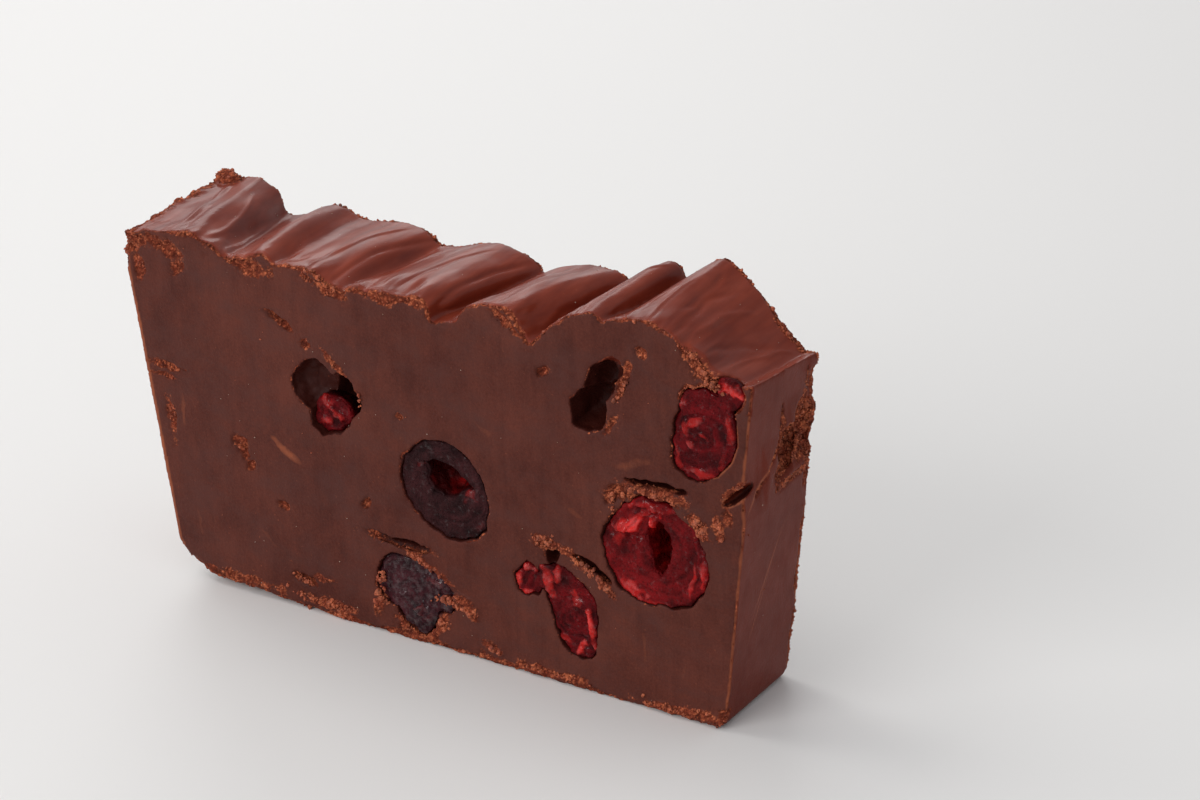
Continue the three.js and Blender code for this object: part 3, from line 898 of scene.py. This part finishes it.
# Single coarse chunks lying on the front cut: x, z, size.
CHUNKS = [
    (44.1, 11.6, 1.1), (43.7, 10.2, 1.0), (44.2, 8.6, 0.9), (42.9, 7.6, 1.3), (43.6, 6.5, 1.5),
    (42.3, 5.7, 1.1), (43.0, 4.6, 1.2), (56.7, 9.8, 1.3), (58.1, 10.0, 1.4), (59.5, 9.6, 1.3),
    (60.9, 9.1, 1.1), (62.1, 8.4, 1.5), (63.0, 9.2, 1.0), (55.9, 5.2, 1.2), (66.4, 2.9, 1.5),
    (67.6, 2.5, 1.1), (93.2, 38.6, 1.1), (94.9, 39.9, 1.3), (97.2, 40.2, 1.2), (99.4, 39.8, 1.1),
    (107.2, 37.2, 1.2), (108.4, 35.8, 1.3), (76.9, 26.7, 1.3), (78.3, 26.0, 1.2), (85.8, 23.4, 1.1),
    (88.3, 22.1, 1.3), (89.7, 20.6, 1.2), (110.4, 62.0, 1.2), (108.8, 63.6, 1.1), (15.0, 28.8, 1.0),
]


def build_clusters(shapes):
    """Loose crumbs laid on the front cut in clusters, and a few single chunks."""
    random = np.random.default_rng(SEED_CRUMBS + 3)
    heap = Heap()
    for x, z, size in CHUNKS:
        crumb = shapes[random.integers(len(shapes))]
        stretch = random.uniform(0.75, 1.25, size=3)
        heap.lay(crumb, stretch, turned(random), size, placed(x, -0.1 * size, z))
    for px, pz, length, width, turn, count in CLUSTERS:
        angle = math.radians(turn)
        for _ in range(count):
            along, across = random.normal(size=2) * 0.5
            x = px + along * length * math.cos(angle) - across * width * math.sin(angle)
            z = pz + along * length * math.sin(angle) + across * width * math.cos(angle)
            crumb = shapes[random.integers(len(shapes))]
            size = 0.28 + 0.55 * random.random() ** 2
            stretch = random.uniform(0.7, 1.3, size=3)
            x = min(x, BASE_LENGTH - 0.6 + END_LEAN * z)
            middle = placed(x, random.uniform(-0.25, 0.1), max(z, size * 0.5))
            heap.lay(crumb, stretch, turned(random), size, middle)
    return heap.build("clusters")


def build_crumbs(fudge):
    crumb = face_values(fudge, "crumb")
    skin = face_values(fudge, "skin")
    smear_and_edge_highlight = face_values(fudge, "smear_and_edge_highlight")
    fine = crumb_shapes(5, 6, 4, 0.4, SEED_CRUMBS)
    gathered = ease(-0.1, 0.6, swell(drawn(values_of(fudge.data.polygons, "center")), 4.0, SEED_CRUMBS + 7))
    x, depth, _ = drawn(values_of(fudge.data.polygons, "center")).T
    torn_end = (x > END_START) & (depth > 11.0)
    weights = ease(0.35, 0.9, crumb) * (0.15 + gathered + 2.0 * torn_end)
    weights += 0.0004 + 0.004 * smear_and_edge_highlight
    crumbs = scatter("crumbs", fudge, weights, CRUMB_COUNT, CRUMB_SIZE, fine, 0.4, SEED_CRUMBS)
    coarse = crumb_shapes(5, 9, 6, 0.5, SEED_CRUMBS + 20)
    weights = ease(0.7, 1.0, crumb) * gathered
    clods = scatter("clods", fudge, weights, CLOD_COUNT, CLOD_SIZE, coarse, 0.5, SEED_CRUMBS + 2)
    clusters = build_clusters(coarse)
    small = crumb_shapes(3, 5, 4, 0.4, SEED_CRUMBS + 50)
    weights = 0.25 + skin * 0.5 + crumb * 0.6
    specks = scatter("specks", fudge, weights, SPECK_COUNT, SPECK_SIZE, small, 0.2, SEED_CRUMBS + 1)
    return crumbs, clods, clusters, specks


crumbs, clods, clusters, specks = build_crumbs(fudge)


# ---- materials


def fill(tree, socket, value):
    """Gives a socket a link, a colour as red, green and blue, or a plain value."""
    if isinstance(value, bpy.types.NodeSocket):
        tree.links.new(value, socket)
    elif isinstance(value, tuple) and socket.type == "RGBA":
        socket.default_value = (*value, 1.0)
    else:
        socket.default_value = value


def fill_all(tree, node, inputs):
    for name, value in inputs.items():
        fill(tree, node.inputs[name], value)


def add_node(tree, kind, inputs=None, **settings):
    """A shader node with its settings, and its inputs given as values or links."""
    made = tree.nodes.new(kind)
    for name, value in settings.items():
        setattr(made, name, value)
    fill_all(tree, made, inputs or {})
    return made


def mixed(tree, share, first, second, blend="MIX"):
    """A colour mix: share of second laid over first."""
    made = tree.nodes.new("ShaderNodeMix")
    made.data_type = "RGBA"
    made.blend_type = blend
    for index, value in ((0, share), (6, first), (7, second)):
        fill(tree, made.inputs[index], value)
    return made.outputs[2]


def reckon(tree, operation, first, second):
    """A sum on two values, each a number or a link."""
    made = tree.nodes.new("ShaderNodeMath")
    made.operation = operation
    for index, value in enumerate((first, second)):
        fill(tree, made.inputs[index], value)
    return made.outputs[0]


def times(tree, first, second):
    return reckon(tree, "MULTIPLY", first, second)


def plus(tree, first, second):
    return reckon(tree, "ADD", first, second)


def less(tree, first, second):
    return reckon(tree, "SUBTRACT", first, second)


def spread(tree, value, low, high, to_low=0.0, to_high=1.0):
    """A value carried from one range to another, held at its ends."""
    inputs = {"Value": value, "From Min": low, "From Max": high, "To Min": to_low, "To Max": to_high}
    return add_node(tree, "ShaderNodeMapRange", inputs, clamp=True).outputs[0]


def place_in(tree, scale=(1.0, 1.0, 1.0)):
    """Object coordinates in millimetres, stretched by scale."""
    coordinate = tree.nodes.new("ShaderNodeTexCoord")
    mapping = add_node(tree, "ShaderNodeMapping", {"Vector": coordinate.outputs["Object"]})
    mapping.inputs["Scale"].default_value = tuple(s / MM for s in scale)
    return mapping.outputs[0]


def noise(tree, place, size, detail=2.0, roughness=0.5):
    """Noise from 0 to 1 with features about size millimetres across."""
    inputs = {"Vector": place, "Scale": 1.0 / size, "Detail": detail, "Roughness": roughness}
    return add_node(tree, "ShaderNodeTexNoise", inputs).outputs[0]


def mask(tree, name):
    return add_node(tree, "ShaderNodeAttribute", attribute_name=name).outputs["Fac"]


def shader_group(name, inputs, outputs):
    """An empty node group with named sockets: (name, type, value) and (name, type)."""
    group = bpy.data.node_groups.new(name, "ShaderNodeTree")
    for label, kind, value in inputs:
        socket = group.interface.new_socket(name=label, in_out="INPUT", socket_type=kind)
        socket.default_value = value
    for label, kind in outputs:
        group.interface.new_socket(name=label, in_out="OUTPUT", socket_type=kind)
    start = group.nodes.new("NodeGroupInput")
    end = group.nodes.new("NodeGroupOutput")
    return group, start.outputs, end.inputs


def use_group(tree, group, **values):
    made = tree.nodes.new("ShaderNodeGroup")
    made.node_tree = group
    fill_all(tree, made, values)
    return made.outputs


def new_material(name):
    material = bpy.data.materials.new(name)
    material.use_nodes = True
    tree = material.node_tree
    shader = tree.nodes["Principled BSDF"]
    return material, tree, shader


def add_bump(tree, shader, height, strength, distance):
    """A bump on the shader's normal, its distance in millimetres."""
    inputs = {"Height": height, "Strength": strength, "Distance": distance * MM}
    bump = add_node(tree, "ShaderNodeBump", inputs)
    tree.links.new(bump.outputs[0], shader.inputs["Normal"])


def crumb_group():
    """The broken inside of the fudge: orange-brown grains with painted shade darkening the gaps between
    them; the lighter orange grows with the warmth input, which the fudge feeds from grain height as painted
    light.
    """
    group, given, result = shader_group(
        "broken fudge",
        [("Warmth", "NodeSocketFloat", 0.5)],
        [("Colour", "NodeSocketColor"), ("Height", "NodeSocketFloat"), ("Grain", "NodeSocketFloat")],
    )
    place = place_in(group)
    bent = noise(group, place, 1.4, 2.0, 0.5)
    grain = add_node(group, "ShaderNodeTexVoronoi", {"Vector": place, "Scale": 1.0 / 0.38})
    chance = add_node(group, "ShaderNodeSeparateColor", {"Color": grain.outputs["Color"]}).outputs[0]
    patch = spread(group, noise(group, place, 2.6, 3.0, 0.6), 0.35, 0.68)
    # Gaps between the grains: darker as painted shade, and lower in the bump.
    gap_depth_and_shade = spread(group, grain.outputs["Distance"], 0.25, 0.75)
    base = mixed(group, spread(group, bent, 0.42, 0.75), CRUMB_MID, CRUMB_DARK_AND_GAP_SHADE)
    warm = times(group, plus(group, times(group, chance, 0.7), patch), given["Warmth"])
    colour = mixed(group, spread(group, warm, 0.15, 1.0), base, CRUMB_LIGHT_AND_HIGHLIGHT)
    group.links.new(mixed(group, times(group, gap_depth_and_shade, 0.5), colour, CRUMB_DARK_AND_GAP_SHADE), result["Colour"])
    fine = noise(group, place, 0.2, 3.0, 0.6)
    height = less(group, times(group, fine, 0.5), gap_depth_and_shade)
    group.links.new(height, result["Height"])
    group.links.new(chance, result["Grain"])
    return group


def pore_group():
    """Cut cherry flesh: soft mottling, radiating strands and small moist pores."""
    group, given, result = shader_group(
        "cherry flesh",
        [("Pore Size", "NodeSocketFloat", 0.6)],
        [
            ("Mottle", "NodeSocketFloat"),
            ("Pores", "NodeSocketFloat"),
            ("Height", "NodeSocketFloat"),
            ("Wet", "NodeSocketFloat"),
        ],
    )
    place = place_in(group)
    mottle = noise(group, place, 2.6, 4.0, 0.6)
    group.links.new(spread(group, mottle, 0.3, 0.7), result["Mottle"])
    voronoi = add_node(group, "ShaderNodeTexVoronoi", {"Vector": place})
    group.links.new(reckon(group, "DIVIDE", 1.0, given["Pore Size"]), voronoi.inputs["Scale"])
    pores = spread(group, voronoi.outputs["Distance"], 0.1, 0.45, 1.0, 0.0)
    group.links.new(pores, result["Pores"])
    fine = noise(group, place, 0.3, 3.0, 0.6)
    group.links.new(less(group, fine, times(group, pores, 0.6)), result["Height"])
    group.links.new(noise(group, place, 1.1, 4.0, 0.7), result["Wet"])
    return group


CUT_DARK = (0.066, 0.0125, 0.0075)
CUT_LIGHT = (0.122, 0.0290, 0.0180)
CUT_PAINTED_SHEEN = (0.084, 0.0270, 0.0215)
CUT_GOLD_AND_EDGE_HIGHLIGHT = (0.36, 0.095, 0.040)
SIDE_TONE = (0.160, 0.0200, 0.0085)
SIDE_DARK = (0.095, 0.0140, 0.0070)
SKIN_DARK = (0.150, 0.0185, 0.0080)
SKIN_LIGHT = (0.255, 0.0400, 0.0180)
CRUMB_DARK_AND_GAP_SHADE = (0.065, 0.0105, 0.0050)
CRUMB_MID = (0.370, 0.0680, 0.0300)
CRUMB_LIGHT_AND_HIGHLIGHT = (0.760, 0.2080, 0.0900)
# Painted shade for the hollows.
HOLLOW_PAINTED_SHADE = (0.036, 0.0065, 0.0045)


def fudge_material(broken):
    material, tree, shader = new_material("fudge")
    place = place_in(tree)
    streaked = place_in(tree, (1.0, 1.0, 0.07))
    along = place_in(tree, (1.0, 0.08, 1.0))
    crumb, skin, smear_and_edge_highlight = mask(tree, "crumb"), mask(tree, "skin"), mask(tree, "smear_and_edge_highlight")
    cut, hollow = mask(tree, "cut"), mask(tree, "hollow")

    wide = noise(tree, place, 20.0, 4.0, 0.6)
    mottle = noise(tree, place_in(tree, (1.0, 1.0, 0.6)), 4.0, 6.0, 0.7)
    drag = noise(tree, streaked, 1.3, 4.0, 0.6)
    tone = plus(tree, times(tree, wide, 0.45), times(tree, mottle, 0.38))
    speckle = noise(tree, place, 0.5, 4.0, 0.7)
    tone = plus(tree, tone, times(tree, drag, 0.12))
    tone = plus(tree, tone, times(tree, speckle, 0.30))
    cut_colour = mixed(tree, spread(tree, tone, 0.52, 0.73), CUT_DARK, CUT_LIGHT)
    # Greyish patches laid over the cut at random: a painted sheen.
    painted_sheen = spread(tree, noise(tree, place_in(tree, (0.6, 1.0, 1.0)), 7.0, 5.0, 0.7), 0.45, 0.72, 0.0, 0.75)
    cut_colour = mixed(tree, painted_sheen, cut_colour, CUT_PAINTED_SHEEN)
    hair = noise(tree, place_in(tree, (1.0, 1.0, 0.03)), 0.3, 2.0, 0.5)
    cut_colour = mixed(tree, spread(tree, hair, 0.58, 0.72, 0.0, 0.16), cut_colour, CUT_DARK)
    # Golden smears and scratches, and the golden painted highlight along the upright edges.
    golden_smear_and_edge_highlight = spread(tree, times(tree, smear_and_edge_highlight, mottle), 0.08, 0.6, 0.0, 0.85)
    cut_colour = mixed(tree, golden_smear_and_edge_highlight, cut_colour, CUT_GOLD_AND_EDGE_HIGHLIGHT)

    stroke = noise(tree, along, 1.6, 3.0, 0.5)
    skin_tone = spread(tree, plus(tree, stroke, wide), 0.75, 1.3)
    skin_colour = mixed(tree, skin_tone, SKIN_DARK, SKIN_LIGHT)
    side_colour = mixed(tree, spread(tree, tone, 0.52, 0.76, 0.0, 0.75), SIDE_TONE, SIDE_DARK)
    side_colour = mixed(tree, golden_smear_and_edge_highlight, side_colour, CUT_GOLD_AND_EDGE_HIGHLIGHT)
    surface = mixed(tree, cut, side_colour, cut_colour)
    surface = mixed(tree, skin, surface, skin_colour)
    # Hollows, slits and the torn end darkened towards black-brown: painted shade.
    surface = mixed(tree, times(tree, hollow, 0.92), surface, HOLLOW_PAINTED_SHADE)

    # Grain height drives the broken fudge's colour: raised grains lighter and more orange as painted light,
    # low ones towards dark as painted shade.
    lift = spread(tree, mask(tree, "lift"), 0.04, 0.34)
    inside = use_group(tree, broken, Warmth=times(tree, lift, 0.7))
    painted_lift_light = plus(tree, times(tree, lift, 0.68), 0.32)
    broken_colour = mixed(tree, painted_lift_light, CRUMB_DARK_AND_GAP_SHADE, inside["Colour"])
    uneven = times(tree, less(tree, inside["Grain"], 0.5), 0.5)
    uneven = plus(tree, uneven, times(tree, noise(tree, place, 0.8, 4.0, 0.7), 0.7))
    edge = spread(tree, plus(tree, crumb, uneven), 0.62, 1.05)
    colour = mixed(tree, edge, surface, broken_colour)

    rubbed = less(tree, 1.0, edge)
    smooth = times(tree, skin, rubbed)
    satin = spread(tree, mottle, 0.3, 0.7, 0.42, 0.56)
    roughness = plus(tree, satin, times(tree, edge, 0.3))
    fill_all(tree, shader, {"Base Color": colour, "Roughness": roughness})
    shader.inputs["Specular IOR Level"].default_value = 0.13
    gloss = times(tree, smooth, spread(tree, noise(tree, along, 3.0, 3.0, 0.6), 0.3, 0.7, 0.13, 0.38))
    tree.links.new(gloss, shader.inputs["Coat Weight"])
    shader.inputs["Coat Roughness"].default_value = 0.2

    fine = noise(tree, place, 0.35, 4.0, 0.6)
    height = times(tree, fine, less(tree, 1.0, times(tree, smooth, 0.9)))
    height = plus(tree, height, times(tree, drag, times(tree, cut, 0.35)))
    height = plus(tree, height, times(tree, inside["Height"], times(tree, edge, 2.0)))
    add_bump(tree, shader, height, 0.6, 0.16)
    return material


def crumb_material(broken):
    material, tree, shader = new_material("fudge crumbs")
    inside = use_group(tree, broken, Warmth=0.55)
    looks = {"Base Color": inside["Colour"], "Roughness": 0.6, "Specular IOR Level": 0.35}
    fill_all(tree, shader, looks)
    add_bump(tree, shader, inside["Height"], 0.6, 0.1)
    return material


def speck_material():
    material, tree, shader = new_material("pale specks")
    tone = noise(tree, place_in(tree), 6.0)
    colour = mixed(tree, spread(tree, tone, 0.35, 0.65), (0.30, 0.17, 0.10), (0.62, 0.50, 0.42))
    fill_all(tree, shader, {"Base Color": colour, "Roughness": 0.45})
    return material


def cherry_material(name, flesh, dark, light, glow_and_highlight, pit_flesh_and_shade, pit_glow, pore_size, wet_from):
    material, tree, shader = new_material(name)
    bright_flesh_and_highlight, pit, ripple = mask(tree, "bright_flesh_and_highlight"), mask(tree, "pit"), mask(tree, "ripple")
    look = use_group(tree, flesh, **{"Pore Size": pore_size})
    tone = plus(tree, times(tree, ripple, 0.6), times(tree, look["Mottle"], 0.4))
    colour = mixed(tree, spread(tree, tone, 0.2, 0.85), dark, light)
    colour = mixed(tree, times(tree, look["Pores"], 0.55), colour, dark)
    # Lighter red on the folds, partly painted highlight.
    colour = mixed(tree, spread(tree, bright_flesh_and_highlight, 0.1, 0.85), colour, glow_and_highlight)
    # The stone hollow's colour deeper in: red flesh and, for most cherries, painted shade, with lighter red
    # spots at random.
    deep = mixed(tree, spread(tree, ripple, 0.5, 0.95), pit_flesh_and_shade, pit_glow)
    colour = mixed(tree, times(tree, pit, 0.9), colour, deep)
    fill_all(tree, shader, {"Base Color": colour, "Roughness": 0.45, "Specular IOR Level": 0.06})
    wet = spread(tree, plus(tree, look["Wet"], times(tree, bright_flesh_and_highlight, 0.30)), wet_from, wet_from + 0.22)
    tree.links.new(wet, shader.inputs["Coat Weight"])
    shader.inputs["Coat Roughness"].default_value = 0.07
    add_bump(tree, shader, look["Height"], 0.8, 0.18)
    return material


def dress(piece, material):
    piece.data.materials.clear()
    piece.data.materials.append(material)


broken_fudge = crumb_group()
cherry_flesh = pore_group()
dress(fudge, fudge_material(broken_fudge))
loose_fudge = crumb_material(broken_fudge)
dress(crumbs, loose_fudge)
dress(clods, loose_fudge)
dress(clusters, loose_fudge)
dress(specks, speck_material())

# Cherry flesh: its dark and light colours, its glowing colour on the folds, partly a painted
# highlight, the stone hollow's colour, for most cherries darker as painted shade, the hollow's
# glowing spots, the size of its pores, and the noise above which it looks wet.
FLESH = {
    "dark cherry": (
        (0.012, 0.0030, 0.0036), (0.050, 0.0120, 0.0135), (0.30, 0.012, 0.012),
        (0.040, 0.0008, 0.0008), (0.260, 0.0030, 0.0030), 0.40, 0.56,
    ),
    "red cherry": (
        (0.046, 0.0018, 0.0026), (0.205, 0.0060, 0.0080), (0.80, 0.024, 0.020),
        (0.075, 0.0005, 0.0005), (0.300, 0.0010, 0.0010), 0.60, 0.56,
    ),
    "deep red cherry": (
        (0.028, 0.0014, 0.0022), (0.160, 0.0042, 0.0065), (0.78, 0.030, 0.024),
        (0.020, 0.0010, 0.0010), (0.120, 0.0015, 0.0015), 0.50, 0.56,
    ),
    "plum cherry": (
        (0.016, 0.0040, 0.0060), (0.070, 0.0150, 0.0200), (0.40, 0.020, 0.020),
        (0.020, 0.0010, 0.0010), (0.120, 0.0015, 0.0015), 0.60, 0.44,
    ),
}
FLESH_OF = {
    "cherry_dark": "dark cherry",
    "cherry_red": "red cherry",
    "cherry_upper": "deep red cherry",
    "cherry_bottom": "plum cherry",
    "cherry_curl": "deep red cherry",
    "cherry_pocket": "deep red cherry",
}
fleshes = {name: cherry_material(name, cherry_flesh, *look) for name, look in FLESH.items()}


# ---- floor, light and camera

FOCAL_LENGTH = 105.0
CAMERA_DISTANCE = 626.4
CAMERA_HEIGHT_ANGLE = 24.91
CAMERA_SIDE_ANGLE = 33.02
CAMERA_ROLL = -1.585
AIM_RIGHT = 74.92
AIM_UP = 28.93


def build_floor():
    bpy.ops.mesh.primitive_plane_add(size=6.0, location=(0.0, 0.0, -0.02 * MM))
    floor = bpy.context.object
    floor.name = "floor"
    material, tree, shader = new_material("pale floor")
    fill_all(tree, shader, {"Base Color": (0.82, 0.805, 0.79), "Roughness": 0.55})
    dress(floor, material)


def add_softbox(name, place, aim, size, power, colour=(1.0, 1.0, 1.0)):
    light = bpy.data.lights.new(name, "AREA")
    light.shape = "RECTANGLE"
    light.size, light.size_y = size
    light.energy = power
    light.color = colour
    lamp = bpy.data.objects.new(name, light)
    bpy.context.scene.collection.objects.link(lamp)
    lamp.location = place
    direction = Vector(aim) - Vector(place)
    lamp.rotation_euler = direction.to_track_quat("-Z", "Y").to_euler()


def build_light():
    world = bpy.data.worlds.new("studio")
    world.use_nodes = True
    background = world.node_tree.nodes["Background"]
    background.inputs["Color"].default_value = (0.96, 0.975, 1.0, 1.0)
    background.inputs["Strength"].default_value = 0.52
    bpy.context.scene.world = world
    middle = (0.0, 0.0, 0.035)
    add_softbox("key", (-0.75, 0.05, 1.0), middle, (0.8, 0.8), 5.2, (1.0, 0.985, 0.96))
    add_softbox("back", (-0.75, 0.95, 0.55), middle, (0.7, 0.5), 2.4, (1.0, 0.99, 0.98))
    add_softbox("front fill", (-0.4, -1.2, 0.75), middle, (0.9, 0.7), 8.0)


def build_camera():
    height, side = math.radians(CAMERA_HEIGHT_ANGLE), math.radians(CAMERA_SIDE_ANGLE)
    back = Vector((
        math.sin(side) * math.cos(height),
        -math.cos(side) * math.cos(height),
        math.sin(height),
    ))
    right = Vector((math.cos(side), math.sin(side), 0.0))
    up = back.cross(right)
    corner = placed(0.0, 0.0, 0.0)
    place = corner + (back * CAMERA_DISTANCE + right * AIM_RIGHT + up * AIM_UP) * MM
    turn = Matrix.Rotation(math.radians(CAMERA_ROLL), 3, back)
    right, up = turn @ right, turn @ up
    camera = bpy.data.cameras.new("camera")
    camera.lens = FOCAL_LENGTH
    camera.sensor_width = 36.0
    camera.clip_start = 0.05
    holder = bpy.data.objects.new("camera", camera)
    bpy.context.scene.collection.objects.link(holder)
    holder.matrix_world = Matrix((
        (right.x, up.x, back.x, place.x),
        (right.y, up.y, back.y, place.y),
        (right.z, up.z, back.z, place.z),
        (0.0, 0.0, 0.0, 1.0),
    ))
    bpy.context.scene.camera = holder


build_floor()
build_light()
build_camera()
view = bpy.context.scene.view_settings
view.view_transform = "Standard"
view.look = "None"


# ---- the frame's table

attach(fudge, "root")
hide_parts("fudge")
for node, piece in cherries.items():
    dress(piece, fleshes[FLESH_OF[node]])
    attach(piece, "root")
    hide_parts(node)
for piece in (crumbs, clods, clusters, specks):
    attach(piece, "root")
